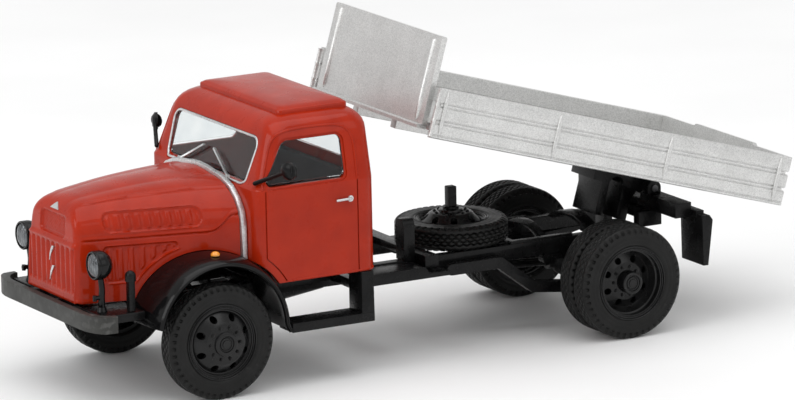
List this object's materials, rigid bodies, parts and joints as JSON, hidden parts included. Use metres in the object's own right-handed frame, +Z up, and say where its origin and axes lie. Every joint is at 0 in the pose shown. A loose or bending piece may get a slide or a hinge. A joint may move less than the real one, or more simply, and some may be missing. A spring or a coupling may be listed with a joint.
{
  "type": "scale model dump truck",
  "caption": "Scale model of a bonneted tipper truck: round-nosed cab, open frame with a flat spare wheel, twin rear wheels and a flat bed that tips to the rear.",
  "frame": {"origin": "on the ground, midway between the truck's sides and midway along the model with the bed raised as displayed", "axes": "-Y is the truck's front, +X its left side, +Z up"},
  "size_m": [0.0288, 0.0765, 0.0318],
  "materials": {
    "red_paint": "glossy",
    "silver_trim": "satin",
    "silver_paint": "satin metallic paint",
    "clear_plastic": "clear",
    "lens_plastic": "clear",
    "amber_plastic": "glossy",
    "tyre": "matt",
    "rim_black": "satin",
    "steel": "plain",
    "dark_grey": "satin",
    "gloss_black": "glossy",
    "interior_grey": "matt",
    "chassis_black": "satin"
  },
  "bodies": {
    "truck": {"frame_rails": "chassis_black", "cross_members": "chassis_black", "front_springs": "chassis_black", "rear_springs": "chassis_black", "radius_arms": "chassis_black", "gearbox": "chassis_black", "prop_shaft": "chassis_black", "differential": "chassis_black", "front_plate": "chassis_black", "bumper": "dark_grey", "tow_hook": "dark_grey", "fender_left": "gloss_black", "fender_right": "gloss_black", "turn_signals": "amber_plastic", "headlight_left": "chassis_black", "headlight_right": "chassis_black", "headlight_lenses": "lens_plastic", "guide_posts": "chassis_black", "hood": "red_paint", "cowl_trim": "silver_trim", "cab": "red_paint", "windscreen": "clear_plastic", "side_windows": "clear_plastic", "rear_window": "clear_plastic", "wipers": "silver_trim", "mirror_left": "chassis_black", "mirror_right": "chassis_black", "cab_floor": "interior_grey", "seat": "interior_grey", "dashboard": "interior_grey", "steering_wheel": "interior_grey", "step_left": "chassis_black", "step_right": "chassis_black", "rear_beam": "chassis_black", "bed_rests": "chassis_black", "side_tanks": "chassis_black", "spare_tyre": "tyre", "spare_rim": "rim_black", "spare_post": "chassis_black", "tail_beam": "chassis_black", "pivot_pin": "steel", "mudflap_left": "chassis_black", "mudflap_right": "chassis_black"},
    "front_wheels": {"front_axle": "steel", "front_tyre_left": "tyre", "front_tyre_right": "tyre", "front_rim_left": "rim_black", "front_rim_right": "rim_black"},
    "rear_wheels": {"rear_axle": "steel", "rear_tyres_left": "tyre", "rear_tyres_right": "tyre", "rear_rims_left": "rim_black", "rear_rims_right": "rim_black"},
    "bed": {"bed_floor": "silver_paint", "headboard": "silver_paint", "side_wall_left": "silver_paint", "side_wall_right": "silver_paint", "tailgate": "silver_paint", "tip_bracket": "chassis_black"}
  },
  "joints": [
    {"name": "front_axle_spin", "type": "hinge", "parent": "truck", "child": "front_wheels", "pos_m": [0, -0.02528, 0.00556], "axis": [1, 0, 0], "continuous": true},
    {"name": "rear_axle_spin", "type": "hinge", "parent": "truck", "child": "rear_wheels", "pos_m": [0, 0.01921, 0.00556], "axis": [1, 0, 0], "continuous": true},
    {"name": "bed_tip", "type": "hinge", "parent": "truck", "child": "bed", "pos_m": [0, 0.02731, 0.0123], "axis": [-1, 0, 0], "range_deg": [-16.5, 28.5]}
  ]
}
